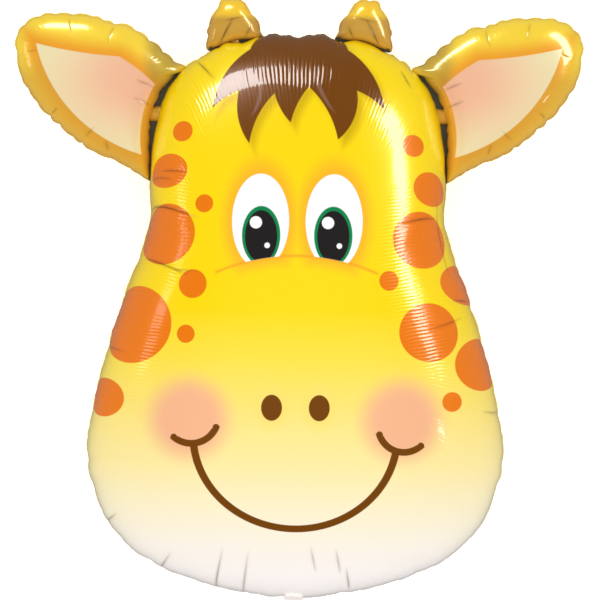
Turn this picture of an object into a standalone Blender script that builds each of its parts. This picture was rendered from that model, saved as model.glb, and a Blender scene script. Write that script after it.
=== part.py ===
"""An inflated foil balloon shaped as a giraffe's head, lying on its back.

Metres, +Z up. The face looks up, the chin points to -Y and the horns to +Y. The origin is
under the middle of the balloon, on the surface that it lies on.

The balloon is two printed films welded together round their edge, so it is one piece. The
film is far too thin to model and the weld seals it, so the envelope is one solid. Its head,
ears and horns are pillows: each has its own weld line, and a short neck lets the gas through
from the head. Between the head and an ear the two films lie flat together, as a web.
"""

import math

import bmesh
import bpy
from mathutils import Matrix, Vector

# Overall sizes of the pillows
HEAD_HEIGHT = 0.757
HEAD_WIDTH = 0.559
HEAD_DEPTH = 0.312
EAR_LENGTH = 0.229
EAR_HEIGHT = 0.222
EAR_DEPTH = 0.080
HORN_WIDTH = 0.073
HORN_HEIGHT = 0.066
HORN_DEPTH = 0.048

# The film's free edge outside its weld, and the wider web at an ear's root. Both films
# together are drawn thicker than they are, and no two pieces alike, so that no faces coincide.
SEAM_WIDTH = 0.005
EAR_WEB_WIDTH = 0.010
HORN_WEB_WIDTH = 0.005
HEAD_SEAM_THICKNESS = 0.0016
EAR_SEAM_THICKNESS = 0.0012
HORN_SEAM_THICKNESS = 0.0010

# The necks that let gas through from the head: half length, half width and half depth, and how
# far each is turned about Z
EAR_NECK = (0.026, 0.009, 0.008)
EAR_NECK_TURN = math.radians(-8)
HORN_NECK = (0.020, 0.007, 0.006)
HORN_NECK_TURN = math.radians(80)

# The flat tail that the balloon is filled through and its ribbon is tied to
TAIL_LENGTH = 0.038
TAIL_WIDTH = 0.026
TAIL_THICKNESS = 0.0022
TAIL_CORNER = 0.008
TAIL_CORNER_STEPS = 5

# How far the back is pressed in where it lies
FLAT_PRESS = 0.0035

# Puckers along a weld line: how deep, how far they reach in, and how far apart
HEAD_PUCKERS = (0.0032, 0.040, 0.042)
EAR_PUCKERS = (0.0026, 0.018, 0.022)
HORN_PUCKERS = (0.0018, 0.010, 0.018)
# How unevenly puckers are spaced and how unevenly deep they are, as shares of the values above
PUCKER_WANDER = 0.3
PUCKER_CONTRAST = 0.3

# A pillow's section: 2 is an ellipse, and a filled foil balloon is a little fuller
FULLNESS = 2.4
# How much thinner the head's crown is than its middle, where the head is narrower
CROWN_THINNING = 0.26
# The share of its outline over which a pillow's rounder core is averaged
CORE_SPREAD = 0.22

# Points round a pillow, and rings from its middle to its edge
HEAD_MESH = (112, 11)
EAR_MESH = (56, 7)
HORN_MESH = (28, 5)
NECK_MESH = (12, 6)

# The right half of the head's outline, from the chin to the crown: shares of its half width,
# and of its height
HEAD_HALF = (
    (0.000, 0.000),
    (0.385, 0.020),
    (0.690, 0.062),
    (0.872, 0.120),
    (0.965, 0.190),
    (1.000, 0.257),
    (0.970, 0.340),
    (0.897, 0.450),
    (0.801, 0.560),
    (0.738, 0.622),
    (0.706, 0.680),
    (0.712, 0.735),
    (0.700, 0.800),
    (0.676, 0.850),
    (0.622, 0.905),
    (0.480, 0.958),
    (0.300, 0.988),
    (0.000, 1.000),
)

# The right ear's outline about its root, anticlockwise: shares of its length and height
EAR_OUTLINE = (
    (-0.158, 0.270),
    (-0.075, 0.139),
    (-0.041, 0.054),
    (-0.009, -0.036),
    (0.012, -0.211),
    (0.020, -0.390),
    (0.058, -0.402),
    (0.222, -0.302),
    (0.392, -0.227),
    (0.520, -0.133),
    (0.667, 0.000),
    (0.743, 0.103),
    (0.807, 0.211),
    (0.830, 0.320),
    (0.842, 0.423),
    (0.813, 0.508),
    (0.743, 0.568),
    (0.643, 0.598),
    (0.415, 0.592),
    (0.281, 0.550),
    (0.170, 0.526),
    (0.029, 0.429),
    (-0.094, 0.317),
)
EAR_MIDDLE = (0.380, 0.163)

# The right horn's outline about its root, anticlockwise: shares of its width and height
HORN_OUTLINE = (
    (-0.500, 0.000),
    (0.000, -0.090),
    (0.460, -0.220),
    (0.500, 0.082),
    (0.476, 0.286),
    (0.430, 0.490),
    (0.361, 0.640),
    (0.278, 0.760),
    (0.148, 0.832),
    (0.000, 0.845),
    (-0.148, 0.800),
    (-0.259, 0.690),
    (-0.343, 0.555),
    (-0.430, 0.388),
    (-0.491, 0.184),
)
HORN_MIDDLE = (0.000, 0.330)

# The part of an ear's height, above its root, that has the wider web
EAR_WEB_SHARE = 0.25

# Where an ear's and a horn's root lie on the head's edge: shares of the head's height
EAR_ROOT_SHARE = 0.855
HORN_ROOT_SHARE = 0.986
# The head's deepest point, as a share of its height
HEAD_MIDDLE_SHARE = 0.430

CURVE_STEPS = 16
FILM_YELLOW = (1.0, 0.73, 0.01, 1.0)


def spline_point(before, here, after, beyond, t):
    """A point on the smooth curve from here to after."""
    return (
        here * 2
        + (after - before) * t
        + (before * 2 - here * 5 + after * 4 - beyond) * t**2
        + (here * 3 - before - after * 3 + beyond) * t**3
    ) / 2


def smooth_loop(points, count):
    """Evenly spaced points on a smooth closed curve through the given ones."""
    fine = [
        spline_point(
            points[i - 1],
            points[i],
            points[(i + 1) % len(points)],
            points[(i + 2) % len(points)],
            step / CURVE_STEPS,
        )
        for i in range(len(points))
        for step in range(CURVE_STEPS)
    ]
    fine.append(fine[0])
    along = [0.0]
    for a, b in zip(fine, fine[1:]):
        along.append(along[-1] + (b - a).length)
    even = []
    span = 0
    for k in range(count):
        target = along[-1] * k / count
        while along[span + 1] < target:
            span += 1
        share = (target - along[span]) / (along[span + 1] - along[span])
        even.append(fine[span].lerp(fine[span + 1], share))
    return even


def head_edge(share):
    """The point of the head's right edge at a share of its height."""
    for (wide, low), (next_wide, high) in zip(HEAD_HALF, HEAD_HALF[1:]):
        if low <= share <= high:
            blend = (share - low) / (high - low)
            half_width = wide + (next_wide - wide) * blend
            return Vector((half_width * HEAD_WIDTH / 2, share * HEAD_HEIGHT))
    raise ValueError("the share lies between 0 and 1")


def shape_about(root, outline, width, height):
    """An outline given in shares, at its real size about its root."""
    return [root + Vector((x * width, y * height)) for x, y in outline]


def pucker_pull(outline, spacing):
    """How hard each point of the edge is pulled in: up to 1 at a crease, and 0 between them."""
    count = len(outline)
    perimeter = sum((a - b).length for a, b in zip(outline, outline[1:] + outline[:1]))
    creases = round(perimeter / spacing)
    pull = [0.0] * count
    for crease in range(creases):
        wander = PUCKER_WANDER * math.sin(2 * crease * crease)
        strength = 1 - PUCKER_CONTRAST * (1 - math.cos(2 * crease))
        pull[round((crease + wander) / creases * count) % count] = strength
    return pull


def rounder(outline):
    """The outline's rounder core: each point averaged with its neighbours."""
    count = len(outline)
    spread = round(CORE_SPREAD * count / 2)
    window = range(-spread, spread + 1)
    return [
        sum((outline[(k + step) % count] for step in window), Vector((0, 0))) / len(window)
        for k in range(count)
    ]


def pillow(name, outline, middle, depth, thickness, rings, puckers, seam_width, thinning=0):
    """A sealed chamber: a sphere drawn out to the outline, with the flat seam as its rim.

    Its inner rings follow the outline's rounder core. Thinning takes that share off its depth
    at its +Y end.
    """
    count = len(outline)
    core = rounder(outline)
    top = max(point.y for point in outline)
    pucker_depth, pucker_reach, spacing = puckers
    pull = pucker_pull(outline, spacing)
    bands = 2 * rings + 1
    half_rise = (depth - thickness) / 2
    bm = bmesh.new()
    bmesh.ops.create_uvsphere(bm, u_segments=count, v_segments=bands, radius=1.0)
    for vert in bm.verts:
        band = round(math.acos(max(-1.0, min(1.0, vert.co.z))) / math.pi * bands)
        side = 1 if band <= rings else -1
        ring = min(band, bands - band)
        column = round(math.atan2(vert.co.y, vert.co.x) / math.tau * count) % count
        edge = outline[column] - middle
        weld = edge * (1 - seam_width(outline[column]) / edge.length)
        turn = math.pi / 2 * min(1.0, ring / (rings - 1))
        reach = math.sin(turn) ** (2 / FULLNESS)
        rise = max(0.0, math.cos(turn)) ** (2 / FULLNESS)
        outward = Vector(
            (reach ** (FULLNESS - 1) / weld.length, rise ** (FULLNESS - 1) / half_rise)
        ).normalized()
        from_weld = math.hypot((1 - reach) * weld.length, rise * half_rise)
        sink = pucker_depth * pull[column] * math.exp(-from_weld / pucker_reach)
        flat = edge if ring == rings else (core[column] - middle).lerp(weld, reach**2) * reach
        up = max(0.0, flat.y / (top - middle.y))
        rise *= 1 - thinning * up * up
        flat = flat - edge.normalized() * sink * outward.x
        height = max(0.0, rise * half_rise - sink * outward.y)
        vert.co = (*(middle + flat), side * (thickness / 2 + height))
    return mesh_object(name, bm)


def mesh_object(name, bm):
    """A new object that holds a bmesh, which is freed."""
    mesh = bpy.data.meshes.new(name)
    bm.to_mesh(mesh)
    bm.free()
    return bpy.data.objects.new(name, mesh)


def mirrored(name, piece):
    """The left-hand copy of a right-hand piece."""
    bm = bmesh.new()
    bm.from_mesh(piece.data)
    bmesh.ops.scale(bm, vec=(-1, 1, 1), verts=bm.verts)
    bmesh.ops.reverse_faces(bm, faces=bm.faces)
    return mesh_object(name, bm)


def make_head():
    """The head's pillow, from the chin at the bottom to the crown."""
    right = [Vector((x * HEAD_WIDTH / 2, y * HEAD_HEIGHT)) for x, y in HEAD_HALF]
    left = [Vector((-p.x, p.y)) for p in reversed(right[1:-1])]
    return pillow(
        "foil_envelope",
        smooth_loop(right + left, HEAD_MESH[0]),
        Vector((0, HEAD_MIDDLE_SHARE * HEAD_HEIGHT)),
        HEAD_DEPTH,
        HEAD_SEAM_THICKNESS,
        HEAD_MESH[1],
        HEAD_PUCKERS,
        lambda point: SEAM_WIDTH,
        CROWN_THINNING,
    )


def make_ear(root):
    """The right ear's pillow, with a wider web along its root."""
    outline = shape_about(root, EAR_OUTLINE, EAR_LENGTH, EAR_HEIGHT)
    middle = shape_about(root, [EAR_MIDDLE], EAR_LENGTH, EAR_HEIGHT)[0]
    web_end = root.x + EAR_WEB_WIDTH

    def seam_width(point):
        past = (point.x - web_end) / EAR_WEB_WIDTH
        if point.y > root.y + EAR_WEB_SHARE * EAR_HEIGHT:
            return SEAM_WIDTH
        return EAR_WEB_WIDTH + (SEAM_WIDTH - EAR_WEB_WIDTH) * max(0.0, min(1.0, past))

    return pillow(
        "right_ear",
        smooth_loop(outline, EAR_MESH[0]),
        middle,
        EAR_DEPTH,
        EAR_SEAM_THICKNESS,
        EAR_MESH[1],
        EAR_PUCKERS,
        seam_width,
    )


def make_horn(root):
    """The right horn's pillow, standing on the crown."""
    outline = shape_about(root, HORN_OUTLINE, HORN_WIDTH, HORN_HEIGHT)
    middle = shape_about(root, [HORN_MIDDLE], HORN_WIDTH, HORN_HEIGHT)[0]
    return pillow(
        "right_horn",
        smooth_loop(outline, HORN_MESH[0]),
        middle,
        HORN_DEPTH,
        HORN_SEAM_THICKNESS,
        HORN_MESH[1],
        HORN_PUCKERS,
        lambda point: SEAM_WIDTH if point.y > root.y else HORN_WEB_WIDTH,
    )


def make_neck(name, root, half_sizes, turn):
    """The short swelling that joins two pillows through their seams, turned about Z."""
    bm = bmesh.new()
    around, bands = NECK_MESH
    bmesh.ops.create_uvsphere(bm, u_segments=around, v_segments=bands, radius=1.0)
    bmesh.ops.scale(bm, vec=half_sizes, verts=bm.verts)
    place = Matrix.Translation(root.to_3d()) @ Matrix.Rotation(turn, 4, "Z")
    bmesh.ops.transform(bm, matrix=place, verts=bm.verts)
    return mesh_object(name, bm)


def make_tail():
    """The flat filling tail under the chin, with its lower corners rounded."""
    into_head = 2 * SEAM_WIDTH
    bm = bmesh.new()
    bmesh.ops.create_cube(bm, size=1.0)
    size = (TAIL_WIDTH, TAIL_LENGTH + into_head, TAIL_THICKNESS)
    bmesh.ops.scale(bm, vec=size, verts=bm.verts)
    bmesh.ops.translate(bm, vec=(0, (into_head - TAIL_LENGTH) / 2, 0), verts=bm.verts)
    corners = [
        edge
        for edge in bm.edges
        if all(vert.co.y < -TAIL_LENGTH / 2 for vert in edge.verts)
        and abs(edge.verts[0].co.x - edge.verts[1].co.x) < TAIL_CORNER
        and abs(edge.verts[0].co.z - edge.verts[1].co.z) > 0
    ]
    bmesh.ops.bevel(
        bm,
        geom=corners,
        offset=TAIL_CORNER,
        segments=TAIL_CORNER_STEPS,
        profile=0.5,
        affect="EDGES",
    )
    return mesh_object("filling_tail", bm)


def make_floor_cutter(bottom):
    """A block whose top is the surface that the balloon's back is pressed against."""
    size = 2 * (HEAD_HEIGHT + HEAD_WIDTH)
    bm = bmesh.new()
    bmesh.ops.create_cube(bm, size=size)
    bmesh.ops.translate(bm, vec=(0, 0, bottom - size / 2), verts=bm.verts)
    return mesh_object("floor_cutter", bm)


def combine(body, tool, operation, tools):
    """Adds a tool to the body, or cuts the body with it, and hides the tool."""
    tools.objects.link(tool)
    tool.hide_render = True
    tool.display_type = "WIRE"
    modifier = body.modifiers.new(f"{operation.lower()} {tool.name}", "BOOLEAN")
    modifier.operation = operation
    modifier.object = tool
    modifier.solver = "EXACT"


def new_collection(name):
    collection = bpy.data.collections.new(name)
    bpy.context.scene.collection.children.link(collection)
    return collection


def film_material():
    """Printed polyester film: a glossy yellow."""
    material = bpy.data.materials.new("printed_foil_film")
    material.use_nodes = True
    shader = material.node_tree.nodes["Principled BSDF"]
    shader.inputs["Base Color"].default_value = FILM_YELLOW
    shader.inputs["Roughness"].default_value = 0.2
    shader.inputs["Metallic"].default_value = 0.1
    return material


def main():
    for old in list(bpy.data.objects):
        bpy.data.objects.remove(old)
    balloon = new_collection("giraffe_foil_balloon")
    tools = new_collection("tools")

    ear_root = head_edge(EAR_ROOT_SHARE)
    horn_root = head_edge(HORN_ROOT_SHARE)
    head = make_head()
    right_ear = make_ear(ear_root)
    right_horn = make_horn(horn_root)
    right_pieces = [
        right_ear,
        right_horn,
        make_neck("right_ear_neck", ear_root, EAR_NECK, EAR_NECK_TURN),
        make_neck("right_horn_neck", horn_root, HORN_NECK, HORN_NECK_TURN),
    ]
    left_pieces = [
        mirrored(piece.name.replace("right", "left"), piece) for piece in right_pieces
    ]
    additions = right_pieces + left_pieces + [make_tail()]
    balloon.objects.link(head)
    for addition in additions:
        combine(head, addition, "UNION", tools)
    combine(head, make_floor_cutter(FLAT_PRESS - HEAD_DEPTH / 2), "DIFFERENCE", tools)

    reach = [vert.co.y for piece in [head, *additions] for vert in piece.data.vertices]
    anchor = bpy.data.objects.new("under_the_middle", None)
    balloon.objects.link(anchor)
    anchor.location = (0, -(min(reach) + max(reach)) / 2, HEAD_DEPTH / 2 - FLAT_PRESS)
    for piece in [head, *tools.objects]:
        piece.parent = anchor

    head.data.materials.append(film_material())
    head.data.shade_smooth()


main()
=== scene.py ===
# %% [markdown]
# # A giraffe-head foil balloon
#
# A foil balloon is two sheets of printed, metallised polyester film, welded together round
# their edge and blown up until they are tight. The film can bend but can't stretch, so where
# the flat cut has to draw in it gathers into puckers along the weld. Those puckers, the sharp
# highlights on the gloss and the flat print that wraps round the swelling are what make the
# eye see foil, so most of this lesson is about them.
#
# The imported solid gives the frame: where the balloon lies and how large it is. It lies on its
# back with the face up, the chin to -Y and the horns to +Y.

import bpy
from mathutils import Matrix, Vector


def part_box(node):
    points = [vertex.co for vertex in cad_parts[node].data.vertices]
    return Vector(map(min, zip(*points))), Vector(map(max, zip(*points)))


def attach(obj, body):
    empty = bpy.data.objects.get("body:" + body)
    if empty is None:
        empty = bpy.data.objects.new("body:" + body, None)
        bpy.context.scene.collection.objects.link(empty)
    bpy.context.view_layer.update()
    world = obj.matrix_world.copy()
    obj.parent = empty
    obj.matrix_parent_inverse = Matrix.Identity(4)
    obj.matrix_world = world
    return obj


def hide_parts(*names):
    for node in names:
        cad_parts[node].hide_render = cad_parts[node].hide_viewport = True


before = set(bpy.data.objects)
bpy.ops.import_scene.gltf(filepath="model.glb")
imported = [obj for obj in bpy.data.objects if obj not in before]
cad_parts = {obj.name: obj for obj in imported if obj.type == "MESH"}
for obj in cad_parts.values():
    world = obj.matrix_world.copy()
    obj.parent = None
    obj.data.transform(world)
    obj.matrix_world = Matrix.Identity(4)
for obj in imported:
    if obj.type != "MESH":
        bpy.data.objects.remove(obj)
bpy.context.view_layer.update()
low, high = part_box("foil_envelope")
print("the solid runs from", low, "to", high)

# %% Blender's modules
import math

import bmesh
import bpy
import numpy as np
from mathutils import Matrix, Vector

MM = 0.001
# Two lengths that differ by less than this are the same
TINY = 1e-6

# %% [markdown]
# ## The sizes
#
# The balloon's head, ears and horns are pillows of their own: the weld runs round each of
# them, and only a short neck joins one to the next. The sizes are the solid's, in millimetres.
# The tail's length and the depth tell where the chin and the weld lie in the frame.

# %% Sizes of the pillows, and where the chin and the weld lie
HEAD_HEIGHT = 757 * MM
HEAD_WIDTH = 559 * MM
HEAD_DEPTH = 312 * MM
EAR_LENGTH = 229 * MM
EAR_HEIGHT = 222 * MM
EAR_DEPTH = 80 * MM
HORN_WIDTH = 73 * MM
HORN_HEIGHT = 66 * MM
HORN_DEPTH = 48 * MM
TAIL_LENGTH = 38 * MM
TAIL_WIDTH = 26 * MM

chin_y = low[1] + TAIL_LENGTH
weld_z = high[2] - HEAD_DEPTH / 2
print(f"chin at y = {chin_y:.4f} m, weld at z = {weld_z:.4f} m")

# %% [markdown]
# ## The outlines
#
# Each outline has only the points that its shape needs, as shares of its width and height,
# and a smooth curve runs through them. The head is a pear with a waist under the ears, so
# half of it is enough. An ear is a leaf with a straight root, and a horn is a bell.

# %% The outlines, as shares. Those of the limbs start from their roots
HEAD_HALF = (
    (0.000, 0.000),
    (0.385, 0.020),
    (0.690, 0.062),
    (0.872, 0.120),
    (0.965, 0.190),
    (1.000, 0.257),
    (0.970, 0.340),
    (0.897, 0.450),
    (0.801, 0.560),
    (0.738, 0.622),
    (0.706, 0.680),
    (0.712, 0.735),
    (0.700, 0.800),
    (0.676, 0.850),
    (0.622, 0.905),
    (0.480, 0.958),
    (0.300, 0.988),
    (0.000, 1.000),
)
EAR_OUTLINE = (
    (-0.158, 0.270),
    (-0.075, 0.139),
    (-0.041, 0.054),
    (-0.009, -0.036),
    (0.012, -0.211),
    (0.020, -0.390),
    (0.058, -0.402),
    (0.222, -0.302),
    (0.392, -0.227),
    (0.520, -0.133),
    (0.667, 0.000),
    (0.743, 0.103),
    (0.807, 0.211),
    (0.830, 0.320),
    (0.842, 0.423),
    (0.813, 0.508),
    (0.743, 0.568),
    (0.643, 0.598),
    (0.415, 0.592),
    (0.281, 0.550),
    (0.170, 0.526),
    (0.029, 0.429),
    (-0.094, 0.317),
)
HORN_OUTLINE = (
    (-0.500, 0.000),
    (0.000, -0.090),
    (0.460, -0.220),
    (0.500, 0.082),
    (0.475, 0.290),
    (0.420, 0.460),
    (0.350, 0.590),
    (0.305, 0.680),
    (0.270, 0.780),
    (0.180, 0.835),
    (0.020, 0.845),
    (-0.120, 0.830),
    (-0.195, 0.760),
    (-0.235, 0.670),
    (-0.330, 0.540),
    (-0.430, 0.388),
    (-0.491, 0.184),
)
# Where the swelling is highest, and where the roots sit up the head's edge
EAR_MIDDLE = (0.380, 0.163)
HORN_MIDDLE = (0.000, 0.330)
HEAD_MIDDLE_SHARE = 0.430
EAR_ROOT_SHARE = 0.855
HORN_ROOT_SHARE = 0.986
print(len(HEAD_HALF), "points for half the head,", len(EAR_OUTLINE), "for an ear")


# %% A smooth closed curve, cut into even steps
def smooth_loop(points, count, fine=24):
    """Evenly spaced points on a closed Catmull-Rom curve, as a count x 2 array."""
    here = np.array(points)
    before, after, beyond = (np.roll(here, -shift, axis=0) for shift in (-1, 1, 2))
    curve = []
    for t in np.arange(fine) / fine:
        curve.append(
            here * 2
            + (after - before) * t
            + (before * 2 - here * 5 + after * 4 - beyond) * t**2
            + (here * 3 - before - after * 3 + beyond) * t**3
        )
    curve = np.stack(curve, axis=1).reshape(-1, 2) / 2
    closed = np.vstack([curve, curve[:1]])
    along = np.concatenate([[0], np.cumsum(np.linalg.norm(np.diff(closed, axis=0), axis=1))])
    even = np.arange(count) / count * along[-1]
    return np.stack([np.interp(even, along, closed[:, k]) for k in (0, 1)], axis=1)


def head_edge(share):
    """The point of the head's right edge at a share of its height."""
    wide, up = np.array(HEAD_HALF).T
    return np.array([np.interp(share, up, wide) * HEAD_WIDTH / 2, share * HEAD_HEIGHT])


# %% [markdown]
# ## Puckers along the weld
#
# A pucker is a sharp valley that starts at the weld and fades out some way in. Between two
# valleys the film bulges in a round arch, because the gas pushes it out. Puckers come in
# families: a few long, deep ones, and more short ones between them. Each family is a list of
# places along the weld with a depth and a length of their own, drawn from a seeded
# generator, so the balloon is the same each time. A cloth simulation could gather the film
# too, but a formula is quicker and each pucker's size can be set.

# %% A family of puckers. Stray is a share of the spacing
STRAY = 0.35
DEPTH_SHARES = (0.35, 1.0)
LENGTH_SHARES = (0.45, 1.0)
FADE_POWER = 1.5


def pucker_family(along, inward, perimeter, spacing, depth, length, seed):
    """How deep one family of puckers is at places along the weld and in from it."""
    chance = np.random.default_rng(seed)
    count = round(perimeter / spacing)
    at = (np.arange(count) + chance.uniform(-STRAY, STRAY, count)) * perimeter / count
    at = np.sort(at % perimeter)
    deep = depth * chance.uniform(*DEPTH_SHARES, count)
    long = length * chance.uniform(*LENGTH_SHARES, count)
    after = np.searchsorted(at, along) % count
    before = (after - 1) % count
    gap = (at[after] - at[before]) % perimeter
    share = ((along - at[before]) % perimeter) / gap
    valley = 0
    for crease, nearness in ((before, 1 - share), (after, share)):
        fade = np.clip(1 - inward / long[crease], 0, 1) ** FADE_POWER
        valley = valley + deep[crease] * fade * nearness
    return valley * (1 - np.sin(np.pi * share))


# %% Spacing, depth and length of each family
HEAD_PUCKERS = (
    (64 * MM, 3.4 * MM, 110 * MM),
    (23 * MM, 1.5 * MM, 44 * MM),
    (9 * MM, 0.5 * MM, 20 * MM),
)
EAR_PUCKERS = ((22 * MM, 3.4 * MM, 32 * MM), (9 * MM, 0.5 * MM, 14 * MM))
HORN_PUCKERS = ((22 * MM, 2.6 * MM, 18 * MM), (8 * MM, 0.4 * MM, 8 * MM))
# The puckers draw the outline in, so it starts out wider by this much
EDGE_ALLOWANCE = 1.0 * MM
# The crown is crumpled. Above this share of the height puckers are deeper by up to this
# gain, and they reach it within a twentieth of the height
CRUMPLED_ABOVE = 0.9
CRUMPLE_GAIN = 1.9
CRUMPLE_RAMP = 20
print(len(HEAD_PUCKERS), "families on the head, the deepest", HEAD_PUCKERS[0][1] / MM, "mm")

# %% [markdown]
# ## Long folds
#
# Where the outline turns inwards, at the waist, and beside the necks, the film is pulled
# tight one way and slack the other. It takes that up in a few long, straight folds that run
# in from the edge. Each is a line on the film with a depth and a width. The creases on a horn
# are too small for the mesh and are drawn in its finish alone.

# %% Folds: x and y of both ends on the film, then depth and width, all in millimetres
HEAD_FOLDS = (
    (-250, 560, -128, 507, 1.7, 3.0),
    (-238, 474, -142, 432, 1.5, 3.0),
    (-172, 442, -134, 438, 0.7, 2.5),
    (-226, 588, -166, 564, 0.9, 3.0),
    (-331, 340, -237, 329, 1.0, 3.5),
    (-300, 58, -251, 101, 1.2, 3.0),
    (-214, -18, -171, 51, 1.2, 3.0),
    (-125, -55, -96, 67, 1.4, 3.0),
    (-81, -63, -61, 65, 1.2, 3.0),
    (22, 72, 31, 24, 0.9, 2.5),
    (56, 67, 66, 19, 1.0, 2.5),
    (72, 36, 84, -30, 1.3, 3.0),
    (137, 504, 200, 525, 1.5, 3.0),
    (196, 560, 226, 437, 1.2, 4.0),
    (179, 362, 244, 384, 1.1, 2.5),
    (221, 407, 284, 416, 1.4, 3.0),
    (262, 250, 330, 236, 1.0, 3.0),
    (-151, 753, -116, 705, 1.5, 3.0),
    (143, 732, 159, 700, 1.5, 3.0),
    (-197, 585, -146, 573, 1.2, 2.5),
)
EAR_FOLDS = (
    (190, 680, 218, 691, 1.0, 1.8),
    (192, 655, 221, 667, 1.0, 1.8),
    (366, 727, 349, 730, 0.7, 2.0),
    (286, 610, 271, 627, 0.7, 2.0),
    (310, 778, 302, 748, 0.9, 1.8),
    (246, 770, 255, 738, 0.9, 1.8),
    (252, 590, 257, 609, 0.9, 1.8),
    (336, 640, 322, 652, 0.9, 1.8),
)
HORN_CREASES = (
    (88, 776, 110, 734, 1.6, 2.0),
    (63, 768, 73, 745, 1.2, 2.0),
    (104, 770, 70, 778, 1.0, 2.0),
)


# %% How deep the folds are at each place of the film
def mirrored_folds(folds):
    """The same folds on the other side."""
    return tuple((-x0, y0, -x1, y1, deep, wide) for x0, y0, x1, y1, deep, wide in folds)


def fold_depth(film, folds):
    """How far the folds sink the film, for an array of places on it."""
    depth = np.zeros(film.shape[:-1])
    for x0, y0, x1, y1, deep, wide in folds:
        start, end = np.array([x0, y0]) * MM, np.array([x1, y1]) * MM
        run = end - start
        t = np.clip(((film - start) @ run) / (run @ run), 0, 1)
        away = np.linalg.norm(film - start - t[..., None] * run, axis=-1)
        depth += deep * MM * np.sin(np.pi * t) * np.exp(-away / (wide * MM))
    return depth


print(len(HEAD_FOLDS), "folds on the head and", len(EAR_FOLDS), "on an ear")


# %% [markdown]
# ## The swollen film
#
# A sphere's rings, from the middle of the face to the weld, are drawn out to the outline and
# up to a rounded section. The section is a superellipse, a little fuller than an ellipse. The
# rings crowd towards the weld, where the puckers are. The mesh starts coarse in the middle,
# and the edges of its outer rings are subdivided again and again, so that the columns double
# towards the weld and none of them pinch together in the middle of the face.
#
# Two UV maps go with it, both in metres. `film` says where a point lies on the flat film,
# for the print: it follows the surface, so a spot near the edge wraps round the side. `weld`
# says how far along the weld and how far in from it a point is, for the fine ripples.

# %% Form of the section
# The power of the superellipse: 2 is an ellipse, and more is fuller
FULLNESS = 2.4
# The share of its depth that the head loses towards the crown
CROWN_THINNING = 0.26
# The inner rings are rounder than the outline. It is averaged over this share of its length
CORE_SPREAD = 0.22
# 1 spaces the rings evenly round the section, and more brings them closer to the weld
RING_CROWDING = 1.6
print(f"the crown is {1 - CROWN_THINNING:.0%} as deep as the middle of the face")


def rounder(outline):
    """The outline's rounder core: each point averaged with its neighbours."""
    count = len(outline)
    spread = round(CORE_SPREAD * count / 2)
    return sum(np.roll(outline, step, axis=0) for step in range(-spread, spread + 1)) / (
        2 * spread + 1
    )


# %% The table of places: one row for each ring, one column for each step along the weld
def film_table(outline, middle, depth, thickness, rings, seam, families, folds, seed, thinning=0):
    """Places of the swollen and of the flat film, and distances from the weld, ring by ring."""
    # Each ring goes from the round core in the middle to the outline at the weld
    edge = outline - middle
    edge_length = np.linalg.norm(edge, axis=1)
    edge = edge * (1 + EDGE_ALLOWANCE / edge_length)[:, None]
    edge_length = edge_length + EDGE_ALLOWANCE
    weld = edge * (1 - seam / edge_length)[:, None]
    core = rounder(outline) - middle
    half_rise = (depth - thickness) / 2
    step = np.clip(np.arange(rings + 1) / (rings - 1), 0, 1)
    turn = np.pi / 2 * (1 - (1 - step) ** RING_CROWDING)
    reach = np.sin(turn)[:, None] ** (2 / FULLNESS)
    rise = np.clip(np.cos(turn), 0, 1)[:, None] ** (2 / FULLNESS)
    blend = (reach**2)[..., None]
    flat = (core * (1 - blend) + weld * blend) * reach[..., None]
    top = outline[:, 1].max() - middle[1]
    lean = np.clip(flat[..., 1] / top, 0, None)
    height = rise * (1 - thinning * lean**2) * half_rise
    flat[-1] = edge

    # The film can't stretch, so its flat places are as far apart as its swollen ones
    steps = np.diff(np.dstack([flat[:-1], height[:-1]]), axis=0)
    out = np.vstack([np.zeros((1, len(edge))), np.cumsum(np.linalg.norm(steps, axis=2), axis=0)])
    inward = np.vstack([out[-1] - out, np.zeros((1, len(edge)))])
    length = np.vstack([out, out[-1:] + seam])
    way = flat / np.maximum(np.linalg.norm(flat, axis=2, keepdims=True), TINY)
    film = middle + way * length[..., None]

    loop = np.linalg.norm(np.roll(middle + weld, -1, axis=0) - middle - weld, axis=1)
    perimeter = loop.sum()
    along = np.broadcast_to(np.concatenate([[0], np.cumsum(loop)[:-1]]), inward.shape)
    above = outline[:, 1] / HEAD_HEIGHT - CRUMPLED_ABOVE
    crumpled = 1 + CRUMPLE_GAIN * np.clip(above * CRUMPLE_RAMP, 0, 1)
    sunk = fold_depth(film, folds)
    for number, (spacing, deep, long) in enumerate(families):
        valleys = pucker_family(along, inward, perimeter, spacing, deep, long, seed + number)
        sunk = sunk + valleys * (crumpled if thinning else 1)

    # A pucker sinks square to the film, so it moves a place inwards as well as down
    faces_out = reach ** (FULLNESS - 1) / np.linalg.norm(weld, axis=1)
    faces_up = rise ** (FULLNESS - 1) / half_rise + 0 * edge_length
    facing = np.stack([faces_out, faces_up])
    facing /= np.linalg.norm(facing, axis=0)
    outward = edge / edge_length[:, None]
    flat = flat - outward * (sunk * facing[0])[..., None]
    height = np.clip(height - sunk * facing[1], 0, None)
    places = np.dstack([middle + flat, thickness / 2 + height])
    return {"places": places, "film": film, "along": along, "inward": inward, "perimeter": perimeter}


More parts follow.
